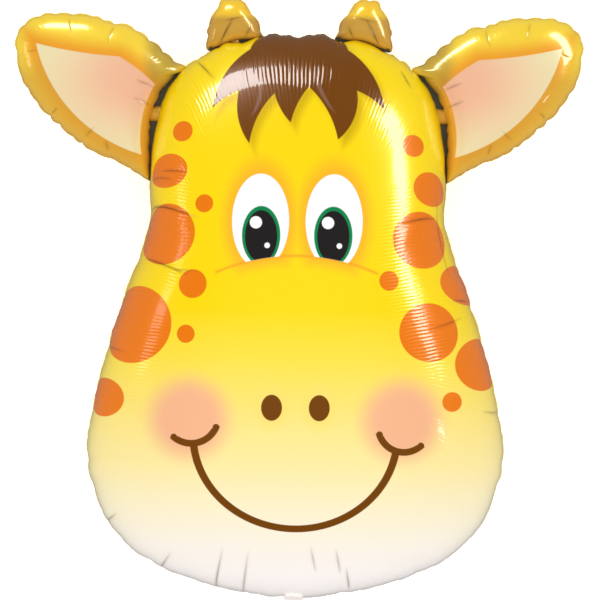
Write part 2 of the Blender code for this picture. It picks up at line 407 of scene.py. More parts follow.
# %% A ball of rings, with more columns towards the weld
def ball_of_rings(rings, columns, doublings):
    """A ball of radius 1 whose columns double at each ring in doublings, counted from the poles."""
    bands = 2 * rings + 1
    bm = bmesh.new()
    bmesh.ops.create_uvsphere(bm, u_segments=columns, v_segments=bands, radius=1.0)

    def ring_of(vert):
        band = round(math.acos(max(-1.0, min(1.0, vert.co.z))) / math.pi * bands)
        return min(band, bands - band)

    for first_ring in doublings:
        level = [
            edge
            for edge in bm.edges
            if abs(edge.verts[0].co.z - edge.verts[1].co.z) < TINY
            and ring_of(edge.verts[0]) >= first_ring
        ]
        bmesh.ops.subdivide_edges(bm, edges=level, cuts=1, use_single_edge=True)
    bmesh.ops.recalc_face_normals(bm, faces=bm.faces)
    return bm


# %% A mesh's places and face corners, as arrays
def places_of(mesh):
    """The place of each vertex."""
    places = np.empty(3 * len(mesh.vertices))
    mesh.vertices.foreach_get("co", places)
    return places.reshape(-1, 3)


def corners_of(mesh):
    """The vertex at each face corner, then each face's first corner and how many it has."""
    corner = np.empty(len(mesh.loops), dtype=int)
    starts = np.empty(len(mesh.polygons), dtype=int)
    sizes = np.empty(len(mesh.polygons), dtype=int)
    mesh.loops.foreach_get("vertex_index", corner)
    mesh.polygons.foreach_get("loop_start", starts)
    mesh.polygons.foreach_get("loop_total", sizes)
    return corner, starts, sizes


# %% The mesh of one pillow
FACE, BACK, WEB, EAR, HORN = range(5)


def make_pillow(name, outline, tables, rings, columns, doublings, web_columns, prints):
    """A sealed pillow of film as an object. The tables give the front's and the back's places."""
    bm = ball_of_rings(rings, columns, doublings)
    mesh = bpy.data.meshes.new(name)
    bm.to_mesh(mesh)
    bm.free()

    count = len(outline)
    bands = 2 * rings + 1
    ball = places_of(mesh)
    band = np.rint(np.arccos(np.clip(ball[:, 2], -1, 1)) / np.pi * bands).astype(int)
    ring = np.minimum(band, bands - band)
    front = band <= rings
    column = np.rint(np.arctan2(ball[:, 1], ball[:, 0]) / math.tau * count).astype(int) % count

    def pick(key):
        return np.where(
            front.reshape((-1,) + (1,) * (tables[0][key].ndim - 2)),
            tables[0][key][ring, column],
            tables[1][key][ring, column],
        )

    place = pick("places")
    place[:, 2] *= np.where(front, 1, -1)
    mesh.vertices.foreach_set("co", place.ravel())

    # A face that spans the last and the first column has its places along the weld unwrapped
    corner, starts, sizes = corners_of(mesh)
    face = np.repeat(np.arange(len(starts)), sizes)
    at = column[corner]
    spans = np.maximum.reduceat(at, starts) - np.minimum.reduceat(at, starts) > count / 2
    along = pick("along")[corner] + tables[0]["perimeter"] * (spans[face] & (at < count / 2))
    for layer, values in (
        ("film", pick("film")[corner]),
        ("weld", np.stack([along, pick("inward")[corner]], axis=1)),
    ):
        mesh.uv_layers.new(name=layer).data.foreach_set("uv", values.ravel())

    middle_z = np.add.reduceat(place[corner, 2], starts) / sizes
    kind = np.where(middle_z > 0, *prints)
    outer = np.minimum.reduceat(ring[corner], starts) >= rings - 1
    kind[outer & web_columns[at[starts]]] = WEB
    mesh.polygons.foreach_set("material_index", kind)
    mesh.update()
    print(f"{name}: {len(mesh.polygons)} faces")
    return bpy.data.objects.new(name, mesh)


# %% [markdown]
# ## The head
#
# The head has the finest mesh, with a point every 2 mm along the weld, so that the shortest
# puckers have a shape of their own. The two films share their puckers at the weld but not
# their lengths, so the back is not a copy of the front.

# %% The head's weld, and its places ring by ring
SEAM_WIDTH = 1.8 * MM
HEAD_WELD_THICKNESS = 1.0 * MM
HEAD_RINGS, HEAD_COLUMNS, HEAD_DOUBLINGS = 40, 72, (4, 8, 13, 24)
BACK_STRETCH = 0.8

head_steps = HEAD_COLUMNS * 2 ** len(HEAD_DOUBLINGS)
right_side = np.array(HEAD_HALF) * (HEAD_WIDTH / 2, HEAD_HEIGHT)
left_side = right_side[-2:0:-1] * (-1, 1)
head_outline = smooth_loop(np.vstack([right_side, left_side]), head_steps)
head_middle = np.array([0, HEAD_MIDDLE_SHARE * HEAD_HEIGHT])


def head_table(stretch, folds):
    """The head's places. Stretch makes this side's puckers longer or shorter."""
    families = [(spacing, depth, length * stretch) for spacing, depth, length in HEAD_PUCKERS]
    return film_table(
        head_outline,
        head_middle,
        HEAD_DEPTH,
        HEAD_WELD_THICKNESS,
        HEAD_RINGS,
        np.full(head_steps, SEAM_WIDTH),
        families,
        folds,
        seed=11,
        thinning=CROWN_THINNING,
    )


# %% Which stretches of the head's weld carry a web
EAR_ROOT_FROM, EAR_ROOT_TO = 0.735, 0.930
HORN_ROOT_FROM, HORN_ROOT_TO = 50 * MM, 122 * MM
TOP_FROM = 0.9

across, share_up = np.abs(head_outline[:, 0]), head_outline[:, 1] / HEAD_HEIGHT
beside_ear = (share_up > EAR_ROOT_FROM) & (share_up < EAR_ROOT_TO)
beside_horn = (across > HORN_ROOT_FROM) & (across < HORN_ROOT_TO) & (share_up > TOP_FROM)
print(beside_ear.sum(), "steps of the weld beside the ears,", beside_horn.sum(), "beside the horns")

# %% Make the head
back_folds = mirrored_folds(HEAD_FOLDS)
head = make_pillow(
    "foil_film",
    head_outline,
    (head_table(1.0, HEAD_FOLDS), head_table(BACK_STRETCH, back_folds)),
    HEAD_RINGS,
    HEAD_COLUMNS,
    HEAD_DOUBLINGS,
    beside_ear | beside_horn,
    (FACE, BACK),
)

# %% [markdown]
# ## The ears and horns
#
# These are smaller pillows of the same kind. Along an ear's root the two films are welded
# flat over a wider strip, the web, which shows as a dark line between the ear and the head.
# Its dark colour is painted shade.
# Only the right-hand ones are made, and the left-hand ones are their mirror images.

# %% Roots, webs and meshes of the limbs
EAR_MESH = (24, 24, (3, 7, 11, 16))
HORN_MESH = (16, 16, (3, 6, 10))
EAR_WELD_THICKNESS = 0.8 * MM
HORN_WELD_THICKNESS = 0.6 * MM
EAR_WEB = 13 * MM
HORN_WEB = 6 * MM
# The ear's web is whole up to the first share of its width, and gone after both shares
WEB_WHOLE = 0.35
WEB_FADES = 0.6
# It ends this far above the root
WEB_TOP = EAR_HEIGHT / 4
# The line below which a horn's weld is a web, as shares of its height
BASE_DROP, BASE_SLOPE = 0.08, 0.23

ear_root = head_edge(EAR_ROOT_SHARE)
horn_root = head_edge(HORN_ROOT_SHARE)
print("roots at", ear_root.round(3), "and", horn_root.round(3))


def ear_seam(loop):
    """The ear's weld: narrow round the leaf, and wide along its root."""
    past = np.clip((loop[:, 0] - ear_root[0] - WEB_WHOLE * EAR_WEB) / (WEB_FADES * EAR_WEB), 0, 1)
    past[loop[:, 1] > ear_root[1] + WEB_TOP] = 1
    return EAR_WEB + (SEAM_WIDTH - EAR_WEB) * past


def horn_seam(loop):
    """The horn's weld, a little wider along its sloping base."""
    across = (loop[:, 0] - horn_root[0]) / HORN_WIDTH
    base = horn_root[1] - (BASE_DROP + BASE_SLOPE * across) * HORN_HEIGHT
    return np.where(loop[:, 1] > base, SEAM_WIDTH, HORN_WEB)


# %% Make an ear and a horn on the right
def limb(name, root, outline, size, middle, depth, thickness, steps, relief, web, prints, seed):
    """A right-hand ear or horn.

    Steps are its rings, columns and doublings, and relief its puckers and folds. Web tells the
    width of the flat weld at each point of the outline.
    """
    rings, columns, doublings = steps
    loop = smooth_loop(np.array(outline) * size + root, columns * 2 ** len(doublings))
    swell_from = np.array(middle) * size + root
    seam = web(loop)
    table = film_table(loop, swell_from, depth, thickness, rings, seam, *relief, seed)
    return make_pillow(
        name, loop, (table, table), rings, columns, doublings, seam > SEAM_WIDTH + TINY, prints
    )


right_limbs = [
    limb(
        "right_ear",
        ear_root,
        EAR_OUTLINE,
        (EAR_LENGTH, EAR_HEIGHT),
        EAR_MIDDLE,
        EAR_DEPTH,
        EAR_WELD_THICKNESS,
        EAR_MESH,
        (EAR_PUCKERS, EAR_FOLDS),
        ear_seam,
        (EAR, BACK),
        seed=31,
    ),
    limb(
        "right_horn",
        horn_root,
        HORN_OUTLINE,
        (HORN_WIDTH, HORN_HEIGHT),
        HORN_MIDDLE,
        HORN_DEPTH,
        HORN_WELD_THICKNESS,
        HORN_MESH,
        (HORN_PUCKERS, ()),
        horn_seam,
        (HORN, HORN),
        seed=51,
    ),
]


# %% [markdown]
# ## The necks
#
# The gas gets from one pillow to the next through a gap in the welds, a short tube that swells
# out of the web. Most of it is hidden in the two pillows, so a stretched ball is enough. It is
# joined to its limb with a Boolean union, which works out where the two skins cross.


# %% The gas necks, as short swellings through the welds
def plain_maps(mesh):
    """Gives a small part the same two UV maps: its own place, and no distance from a weld."""
    place = np.array([mesh.vertices[loop.vertex_index].co[:2] for loop in mesh.loops])
    mesh.uv_layers.new(name="film").data.foreach_set("uv", place.ravel())
    mesh.uv_layers.new(name="weld").data.foreach_set("uv", 0 * place.ravel())


def neck(name, root, half_sizes, turn, slot):
    """A short swelling that joins two pillows through their welds."""
    bm = bmesh.new()
    bmesh.ops.create_uvsphere(bm, u_segments=40, v_segments=20, radius=1.0)
    bmesh.ops.scale(bm, vec=half_sizes, verts=bm.verts)
    place = Matrix.Translation((*root, 0)) @ Matrix.Rotation(turn, 4, "Z")
    bmesh.ops.transform(bm, matrix=place, verts=bm.verts)
    mesh = bpy.data.meshes.new(name)
    bm.to_mesh(mesh)
    bm.free()
    mesh.polygons.foreach_set("material_index", [slot] * len(mesh.polygons))
    plain_maps(mesh)
    return bpy.data.objects.new(name, mesh)


# Half sizes, and how far each is turned to point from the head into its limb
EAR_NECK, EAR_NECK_TURN = (26 * MM, 10 * MM, 8 * MM), math.radians(-8)
HORN_NECK, HORN_NECK_TURN = (20 * MM, 7 * MM, 6 * MM), math.radians(80)
right_necks = [
    neck("right_ear_neck", ear_root, EAR_NECK, EAR_NECK_TURN, EAR),
    neck("right_horn_neck", horn_root, HORN_NECK, HORN_NECK_TURN, HORN),
]
print("necks:", [piece.name for piece in right_necks])


# %% Join each neck to its limb
collection = bpy.context.scene.collection
NUDGE = 0.01 * MM
TRIES = 12
LEAST_KEPT = 0.95


def join(body, piece):
    """Makes the body's mesh the union of itself and a piece, which is removed.

    Where two skins nearly touch, an exact union can lose faces. Then the piece is moved by a
    hair's breadth and joined again.
    """
    collection.objects.link(piece)
    union = body.modifiers.new(piece.name, "BOOLEAN")
    union.operation = "UNION"
    union.solver = "EXACT"
    union.object = piece
    wanted = LEAST_KEPT * max(len(body.data.polygons), len(piece.data.polygons))
    for _ in range(TRIES):
        depsgraph = bpy.context.evaluated_depsgraph_get()
        merged = bpy.data.meshes.new_from_object(body.evaluated_get(depsgraph))
        if len(merged.polygons) >= wanted:
            break
        piece.location.z += NUDGE
    body.modifiers.clear()
    body.data = merged
    bpy.data.objects.remove(piece)
    print(f"{body.name} joined: {len(merged.polygons)} faces")


for limb_piece, neck_piece in zip(right_limbs, right_necks):
    collection.objects.link(limb_piece)
    join(limb_piece, neck_piece)
    collection.objects.unlink(limb_piece)


# %% Mirror the right-hand limbs
def mirrored(piece):
    """The left-hand copy of a piece, with its film map mirrored too."""
    bm = bmesh.new()
    bm.from_mesh(piece.data)
    bmesh.ops.scale(bm, vec=(-1, 1, 1), verts=bm.verts)
    bmesh.ops.reverse_faces(bm, faces=bm.faces)
    film = bm.loops.layers.uv["film"]
    for face in bm.faces:
        for loop in face.loops:
            loop[film].uv.x *= -1
    mesh = bpy.data.meshes.new(piece.name.replace("right", "left"))
    bm.to_mesh(mesh)
    bm.free()
    return bpy.data.objects.new(mesh.name, mesh)


limbs = right_limbs + [mirrored(piece) for piece in right_limbs]
print("limbs:", [piece.name for piece in limbs])

# %% [markdown]
# ## The filling tail
#
# Under the chin the two films run on as a flat tab. The balloon is filled through it and the
# ribbon is tied to it. It is two films thick and nearly flat.

# %% Make the tail
TAIL_THICKNESS = 1.4 * MM
TAIL_CORNER = 8 * MM
INTO_HEAD = 8 * MM

bm = bmesh.new()
bmesh.ops.create_cube(bm, size=1.0)
bmesh.ops.scale(bm, vec=(TAIL_WIDTH, TAIL_LENGTH + INTO_HEAD, TAIL_THICKNESS), verts=bm.verts)
bmesh.ops.translate(bm, vec=(0, (INTO_HEAD - TAIL_LENGTH) / 2, 0), verts=bm.verts)
corners = [
    edge
    for edge in bm.edges
    if all(vert.co.y < -TAIL_LENGTH / 2 for vert in edge.verts)
    and abs(edge.verts[0].co.x - edge.verts[1].co.x) < MM
]
bmesh.ops.bevel(
    bm, geom=corners, offset=TAIL_CORNER, segments=8, profile=0.5, affect="EDGES", material=-1
)
tail_mesh = bpy.data.meshes.new("filling_tail")
bm.to_mesh(tail_mesh)
bm.free()
plain_maps(tail_mesh)
limbs.append(bpy.data.objects.new("filling_tail", tail_mesh))
print("tail:", len(tail_mesh.polygons), "faces")

# %% [markdown]
# ## One envelope
#
# The pillows, necks and tail are joined by Boolean unions into one closed skin, as the real
# envelope is one sealed piece. Each union keeps both UV maps and the material of each face.
# Afterwards the skin is moved to where the solid lies and its back is pressed flat a little
# where it rests.

# %% Join everything to the head
collection.objects.link(head)
for piece in limbs:
    join(head, piece)
skin = head.data
bm = bmesh.new()
bm.from_mesh(skin)
open_edges = sum(not edge.is_manifold for edge in bm.edges)
triangles = sum(len(face.verts) - 2 for face in bm.faces)
bm.free()
print(f"joined skin: {triangles} triangles, {open_edges} open edges")

# %% Move it into the frame, and flatten where it rests
REST_GAP = 0.2 * MM
SHARP_ANGLE = math.radians(60)

place = places_of(skin) + (0, chin_y, weld_z)
place[:, 2] = np.maximum(place[:, 2], REST_GAP)
skin.vertices.foreach_set("co", place.ravel())
skin.shade_smooth()
skin.set_sharp_from_angle(angle=SHARP_ANGLE)
skin.update()
print("the skin runs from", place.min(axis=0).round(4), "to", place.max(axis=0).round(4))


# %% [markdown]
# ## Helpers for materials
#
# Printed film is one recipe with several prints on it, so the materials share a few helpers.
# Colours are written as sRGB hex values and turned to linear in one place. One small function
# adds a node.


# %% Colours and nodes
def linear(hex_colour):
    """An sRGB hex colour as linear RGBA."""
    parts = [int(hex_colour[k : k + 2], 16) / 255 for k in (1, 3, 5)]
    return (*(c / 12.92 if c <= 0.04045 else ((c + 0.055) / 1.055) ** 2.4 for c in parts), 1.0)


def add(tree, kind, inputs=(), output=0, **settings):
    """Adds a node, sets or links its inputs, and returns one of its outputs.

    Inputs are a dictionary by name or number, or a plain list in the sockets' order.
    """
    node = tree.nodes.new("ShaderNode" + kind)
    for name, value in settings.items():
        setattr(node, name, value)
    for key, value in inputs.items() if isinstance(inputs, dict) else enumerate(inputs):
        if isinstance(value, bpy.types.NodeSocket):
            tree.links.new(value, node.inputs[key])
        else:
            node.inputs[key].default_value = value
    return node.outputs[output]


# A Mix node that mixes colours: its factor is input 0, and its colours are inputs 6 and 7
OF_COLOURS = {"output": 2, "data_type": "RGBA"}
print("mid grey #808080 is", round(linear("#808080")[0], 3), "in linear light")

# %% [markdown]
# ## Drawing with distances
#
# The print has crisp edges at any zoom because it is drawn from distances and not from
# pixels. Each shape gives a number that is positive inside it and falls off in metres, so
# shapes are joined with a maximum, cut with a minimum, and painted with a soft or a sharp
# edge.


# %% Shapes
def disc(tree, place, centre, radii):
    """How far inside a circle or an ellipse a place is. Sizes are in millimetres."""
    middle = (centre[0] * MM, centre[1] * MM, 0)
    if not isinstance(radii, tuple):
        away = add(tree, "VectorMath", [place, middle], output="Value", operation="DISTANCE")
        return add(tree, "Math", [radii * MM, away], operation="SUBTRACT")
    rx, ry = radii
    offset = add(tree, "VectorMath", [place, middle], operation="SUBTRACT")
    per_radius = (1 / (rx * MM), 1 / (ry * MM), 0)
    scaled = add(tree, "VectorMath", [offset, per_radius], operation="MULTIPLY")
    share = add(tree, "VectorMath", [scaled], output="Value", operation="LENGTH")
    size = min(rx, ry) * MM
    return add(tree, "Math", [share, -size, size], operation="MULTIPLY_ADD")


def joined(tree, shapes):
    """All of the shapes together."""
    total = shapes[0]
    for shape in shapes[1:]:
        total = add(tree, "Math", [total, shape], operation="MAXIMUM")
    return total


def shared(tree, shapes):
    """Only where all the shapes overlap."""
    total = shapes[0]
    for shape in shapes[1:]:
        total = add(tree, "Math", [total, shape], operation="MINIMUM")
    return total


def outside(tree, shape):
    """Everything but the shape."""
    return add(tree, "Math", [shape, -1], operation="MULTIPLY")


def grown(tree, shape, width):
    """The shape made wider on all sides by a number of millimetres."""
    return add(tree, "Math", [shape, width * MM], operation="ADD")


def outlined(tree, shape, width):
    """A line along a shape's edge, as wide as told in millimetres."""
    away = add(tree, "Math", [shape], operation="ABSOLUTE")
    return add(tree, "Math", [width / 2 * MM, away], operation="SUBTRACT")


def bounded(tree, place, *corners):
    """A shape whose sides are arcs.

    Corners run anticlockwise, each with the bulge of the side that follows it.
    """
    sides = []
    for (x0, y0, bulge), (x1, y1, _) in zip(corners, corners[1:] + corners[:1]):
        length = math.hypot(x1 - x0, y1 - y0)
        out = ((y1 - y0) / length, (x0 - x1) / length)
        radius = (length**2 / 4 + bulge**2) / (2 * abs(bulge))
        reach = (radius - abs(bulge)) * (-1 if bulge > 0 else 1)
        centre = ((x0 + x1) / 2 + out[0] * reach, (y0 + y1) / 2 + out[1] * reach)
        arc = disc(tree, place, centre, radius)
        sides.append(arc if bulge > 0 else outside(tree, arc))
    return shared(tree, sides)


# %% Paint
def paint(tree, under, colour, shape, blur=0.5, strength=1.0):
    """Lays a colour over another where the shape is. Blur is in millimetres."""
    edge = {"Value": shape, "From Min": -blur * MM, "From Max": blur * MM, "To Max": strength}
    share = add(tree, "MapRange", edge, interpolation_type="SMOOTHSTEP")
    over = linear(colour) if isinstance(colour, str) else colour
    return add(tree, "Mix", {0: share, 6: under, 7: over}, **OF_COLOURS)


# %% [markdown]
# ## Ripples
#
# Fine ripples run in from the weld where the film has drawn together, and they break a
# highlight into a comb. They are far shallower than the puckers, so they are bump and not
# mesh. A noise of broad patches bends them and lets them come and go, and a second, slower
# wave makes them uneven. In the photograph they are closest at the waist and on the crown, so
# these two places get combs of their own. Lengths are in millimetres.

# %% Waves along the weld
RIPPLE_SPACING = 6.4
RIPPLE_HEIGHT = 0.09
# The noise bends the waves by up to this many radians, in patches of this size
RIPPLE_WANDER = 7.0
PATCH_SIZE = 60.0
# The second wave has this share of the first one's waves, and of its height
SECOND_PITCH = 0.618
SECOND_HEIGHT = 0.6
# The ripples come in between these two values of the noise
PATCH_STARTS, PATCH_FULL = 0.3, 0.55


def weld_waves(tree, film, weld):
    """Broad patches of noise, the drift that they give, and uneven waves along the weld."""
    noise = {"Vector": film, "Scale": 1 / (PATCH_SIZE * MM), "Detail": 1.0}
    patches = add(tree, "TexNoise", noise, noise_dimensions="2D")
    drift = add(tree, "Math", [patches, RIPPLE_WANDER], operation="MULTIPLY")
    along = add(tree, "SeparateXYZ", [weld], output="X")
    pitch = math.tau / (RIPPLE_SPACING * MM)
    turn = add(tree, "Math", [along, pitch, drift], operation="MULTIPLY_ADD")
    slower = add(tree, "Math", [turn, SECOND_PITCH, drift], operation="MULTIPLY_ADD")
    first = add(tree, "Math", [turn], operation="SINE")
    second = add(tree, "Math", [slower], operation="SINE")
    waves = add(tree, "Math", [second, SECOND_HEIGHT, first], operation="MULTIPLY_ADD")
    return patches, drift, waves


def weld_ripples(tree, weld, patches, waves, calm, reach):
    """The height of the ripples, which fade out at a reach from the weld."""
    inward = add(tree, "SeparateXYZ", [weld], output="Y")
    fade = {
        "Value": inward,
        "From Min": reach * MM,
        "From Max": reach / 3 * MM,
        "To Max": calm * RIPPLE_HEIGHT * MM,
    }
    near = add(tree, "MapRange", fade, interpolation_type="SMOOTHSTEP")
    cover = {"Value": patches, "From Min": PATCH_STARTS, "From Max": PATCH_FULL}
    often = add(tree, "MapRange", cover, interpolation_type="SMOOTHSTEP")
    height = add(tree, "Math", [waves, near], operation="MULTIPLY")
    return add(tree, "Math", [height, often], operation="MULTIPLY")


# %% Combs: the middle and the half sizes of the places that have them
COMB_SPACING = 4.7
COMB_SLANT = 0.18
WAIST = (192, 440, 100, 140)
CROWN = (-2, 699, 56, 22)
CROWN_HEIGHT = 0.14
# A comb comes in between these two distances, counted inwards from the edge of its place
WAIST_EDGE = (-20, 35)
CROWN_EDGE = (-4, 12)


def combs(tree, flat, drift, waves, height):
    """Adds the close, slanting ripples of the waist and the higher ones of the crown."""
    mirror = add(tree, "VectorMath", [flat], operation="ABSOLUTE")
    pitch = math.tau / (COMB_SPACING * MM)
    slant = (-COMB_SLANT * pitch, pitch, 0)
    teeth = add(tree, "VectorMath", [mirror, slant], output="Value", operation="DOT_PRODUCT")
    bent = add(tree, "Math", [teeth, drift], operation="ADD")
    comb = add(tree, "Math", [bent], operation="SINE")
    waist = disc(tree, mirror, WAIST[:2], WAIST[2:])
    crown = disc(tree, flat, CROWN[:2], CROWN[2:])
    for shape, edge, high, wave in (
        (waist, WAIST_EDGE, RIPPLE_HEIGHT, comb),
        (crown, CROWN_EDGE, CROWN_HEIGHT, waves),
    ):
        fade = {"Value": shape, "From Min": edge[0] * MM, "From Max": edge[1] * MM, "To Max": high * MM}
        near = add(tree, "MapRange", fade, interpolation_type="SMOOTHSTEP")
        height = add(tree, "Math", [wave, near, height], operation="MULTIPLY_ADD")
    return height


print(f"ripples {RIPPLE_SPACING} mm apart, combs {COMB_SPACING} mm apart")

# %% [markdown]
# ## The sharp bottoms of the folds
#
# The mesh gives each fold its valley, but the bottom is a sharp line, finer than a face. It is
# a narrow groove in the bump, and a darker line in the colour, because little light gets down
# between its two walls. A line is drawn as the distance to its nearest point.

# %% The creases
CREASE_DEPTH = 0.7
CREASE_WIDTH = 1.3
CREASE_SHADE = "#8A7A70"
CREASE_STRENGTH = 0.9
# A fold this deep, in millimetres, has a crease of full strength
FULL_FOLD = 1.5


def crease(tree, film, fold):
    """The bottom of one fold: highest in the middle of its line, and nothing at its ends."""
    x0, y0, x1, y1 = (value * MM for value in fold[:4])
    run = (x1 - x0, y1 - y0, 0)
    squared = run[0] ** 2 + run[1] ** 2
    per_run = (run[0] / squared, run[1] / squared, 0)
    offset = add(tree, "VectorMath", [film, (x0, y0, 0)], operation="SUBTRACT")
    past = add(tree, "VectorMath", [offset, per_run], output="Value", operation="DOT_PRODUCT")
    share = add(tree, "Clamp", [past])
    nearest = add(tree, "VectorMath", {0: run, "Scale": share}, operation="SCALE")
    away = add(tree, "VectorMath", [offset, nearest], output="Value", operation="DISTANCE")
    widths = add(tree, "Math", [away, -CREASE_WIDTH * MM], operation="DIVIDE")
    fall = add(tree, "Math", [widths], operation="EXPONENT")
    half_turn = add(tree, "Math", [share, math.pi], operation="MULTIPLY")
    middle = add(tree, "Math", [half_turn], operation="SINE")
    line = add(tree, "Math", [fall, middle], operation="MULTIPLY")
    return add(tree, "Math", [line, fold[4] / FULL_FOLD], operation="MULTIPLY")


def creases_of(tree, film, folds):
    """The bottoms of all the folds."""
    total = crease(tree, film, folds[0])
    for fold in folds[1:]:
        total = add(tree, "Math", [total, crease(tree, film, fold)], operation="ADD")
    return total


def darkened(tree, colour, lines):
    """A colour that is darker along the creases."""
    shades = {0: 1.0, 6: colour, 7: linear(CREASE_SHADE)}
    dark = add(tree, "Mix", shades, **OF_COLOURS, blend_type="MULTIPLY")
    share = add(tree, "Math", [lines, CREASE_STRENGTH], operation="MULTIPLY")
    return add(tree, "Mix", {0: share, 6: colour, 7: dark}, **OF_COLOURS, clamp_factor=True)


# %% [markdown]
# ## The film's finish
#
# The film is polyester with a vapour-deposited metal layer behind the ink. The clear outer
# face gives sharp, mirror-like highlights, which a thin smooth coat makes. Under it the ink
# is glossy but not as smooth. The inks are nearly opaque, so only a little of the metal shows
# through, and the film is far less metallic than bare foil.

# %% One recipe for every film
FILM_FINISH = {
    "Roughness": 0.25,
    "IOR": 1.5,
    "Specular IOR Level": 0.25,
    "Coat Weight": 0.7,
    "Coat Roughness": 0.04,
    "Coat IOR": 1.55,
}


def film_material(name, print_and_shade, metal=0.05, folds=(), calm=0.6, reach=230, combed=False):
    """A glossy film with one colour, or with what print_and_shade(tree, flat, film) draws on it.

    Calm is the share of their full height that the ripples by the weld have, and reach is how
    many millimetres they run in from it. Folds are the folds and creases of a printed film.
    """
    material = bpy.data.materials.new(name)
    material.use_nodes = True
    tree = material.node_tree
    shader = tree.nodes["Principled BSDF"]
    for socket, value in FILM_FINISH.items():
        shader.inputs[socket].default_value = value
    shader.inputs["Metallic"].default_value = metal

    body = add(tree, "TexCoord", output="Object")
    from_chin = [body, (1, 1, 0), (0, -chin_y, 0)]
    flat = add(tree, "VectorMath", from_chin, operation="MULTIPLY_ADD")
    film = add(tree, "UVMap", uv_map="film")
    weld = add(tree, "UVMap", uv_map="weld")
    patches, drift, waves = weld_waves(tree, film, weld)
    height = weld_ripples(tree, weld, patches, waves, calm, reach)
    if combed:
        height = combs(tree, flat, drift, waves, height)
    if isinstance(print_and_shade, str):
        shader.inputs["Base Color"].default_value = linear(print_and_shade)
    else:
        lines = creases_of(tree, film, folds)
        height = add(tree, "Math", [lines, -CREASE_DEPTH * MM, height], operation="MULTIPLY_ADD")
        colour = darkened(tree, print_and_shade(tree, flat, film), lines)
        tree.links.new(colour, shader.inputs["Base Color"])
    bump = add(tree, "Bump", {"Height": height, "Distance": 1.0, "Strength": 1.0})
    tree.links.new(bump, shader.inputs["Normal"])
    tree.links.new(bump, shader.inputs["Coat Normal"])
    print(f"{name}: {len(tree.nodes)} nodes")
    return material


# %% [markdown]
# ## The print on the head
#
# The ground is a strong yellow on the forehead that fades to cream and a pinkish white at the
# chin. On it are soft cheeks, giraffe spots down both sides, eyes that look over the top of
# the muzzle, nostrils, a smile and a brown forelock. Places are in millimetres: across from
# the middle, and up from the chin. A shape that both halves share is drawn once, in mirrored
# coordinates.

# %% The ground: shares of the head's height, and the colour there
YELLOW = "#FFDC00"
FADE = (
    (0.05, "#FFF8F4"),
    (0.10, "#FFF6E8"),
    (0.17, "#FEF2CB"),
    (0.24, "#FFECA5"),
    (0.35, "#FEE472"),
    (0.43, "#FEE244"),
    (0.51, YELLOW),
)


def ground(tree, place):
    """The yellow that fades to cream at the chin."""
    up = add(tree, "SeparateXYZ", [place], output="Y")
    share = add(tree, "Math", [up, HEAD_HEIGHT], operation="DIVIDE")
    ramp = add(tree, "ValToRGB", [share])
    stops = ramp.node.color_ramp.elements
    stops[0].position, stops[0].color = FADE[0][0], linear(FADE[0][1])
    stops[1].position, stops[1].color = FADE[-1][0], linear(FADE[-1][1])
    for at, hex_colour in FADE[1:-1]:
        stops.new(at).color = linear(hex_colour)
    return ramp


# %% The spots: middles and radii
SPOT_ORANGE = "#EF7B00"
SPOTS = (
    (-155, 625, 14, 14),
    (-175, 573, 28, 23),
    (-123, 526, 12, 12),
    (-179, 488, 44, 41),
    (-137, 420, 19, 19),
    (-223, 367, 58, 53),
    (-145, 354, 12, 12),
    (-265, 266, 35, 26),
    (154, 608, 15, 15),
    (179, 552, 25, 23),
    (166, 482, 40, 38),
    (121, 426, 13, 13),
    (238, 428, 44, 29),
    (177, 359, 42, 39),
    (257, 316, 44, 36),
    (208, 267, 14, 13),
)
# How much a spot goes by its place as seen from the front, and how much by the flat film
SEEN_SHARE, FILM_SHARE = 0.6, 0.4


def spots(tree, place, film):
    """Round and oval spots that curve round the sides with the film."""
    along_film = add(tree, "VectorMath", {0: film, "Scale": FILM_SHARE}, operation="SCALE")
    both = [place, (SEEN_SHARE, SEEN_SHARE, 0), along_film]
    bent = add(tree, "VectorMath", both, operation="MULTIPLY_ADD")
    return joined(tree, [disc(tree, bent, (x, y), (rx, ry)) for x, y, rx, ry in SPOTS])


# %% The eyes, which the muzzle cuts off below
MUZZLE = ((0, 197), 259.7)
EYE = ((48, 502), (37.2, 62))
IRIS = ((47, 483), (25, 38.5))
PUPIL = ((47, 482), (21, 34))
# Each glint's place from the middle of the iris and up from the chin, and its radius
GLINTS = ((-7, 500, 8), (8, 470, 3.6))
BROW_REACH = ((0, 440), (106, 60))


def eyes(tree, colour, place, mirror):
    """Two eyes with an amber glow round them, and the line of the muzzle below."""
    muzzle = disc(tree, place, *MUZZLE)
    above = outside(tree, muzzle)
    white = shared(tree, [disc(tree, mirror, *EYE), above])
    brow = shared(tree, [outlined(tree, muzzle, 3), disc(tree, place, *BROW_REACH)])
    iris = shared(tree, [disc(tree, mirror, *IRIS), above])
    pupil = shared(tree, [disc(tree, mirror, *PUPIL), above])
    glints = [
        disc(tree, place, (side * IRIS[0][0] + x, y), radius)
        for side in (-1, 1)
        for x, y, radius in GLINTS
    ]
    colour = paint(tree, colour, "#FDAE26", grown(tree, white, 9), blur=13, strength=0.85)
    colour = paint(tree, colour, "#F7A21B", brow, blur=2, strength=0.9)
    colour = paint(tree, colour, "#FFFFFF", white)
    colour = paint(tree, colour, "#00874B", iris)
    colour = paint(tree, colour, "#231F20", pupil)
    return paint(tree, colour, "#FFFFFF", joined(tree, glints))


# %% The nostrils and the smile
BROWN = "#764200"
NOSTRIL = ((31, 259), (13.6, 17))
# Middle, radii, width of the line, its highest place, and its turn in degrees
SMILE_LINES = (
    ((0, 222), (133, 122), 9.2, 206, -2),
    ((-136, 247), (36, 36), 9.0, 225, 14),
    ((142, 236), (34, 34), 9.0, 217, -15),
)


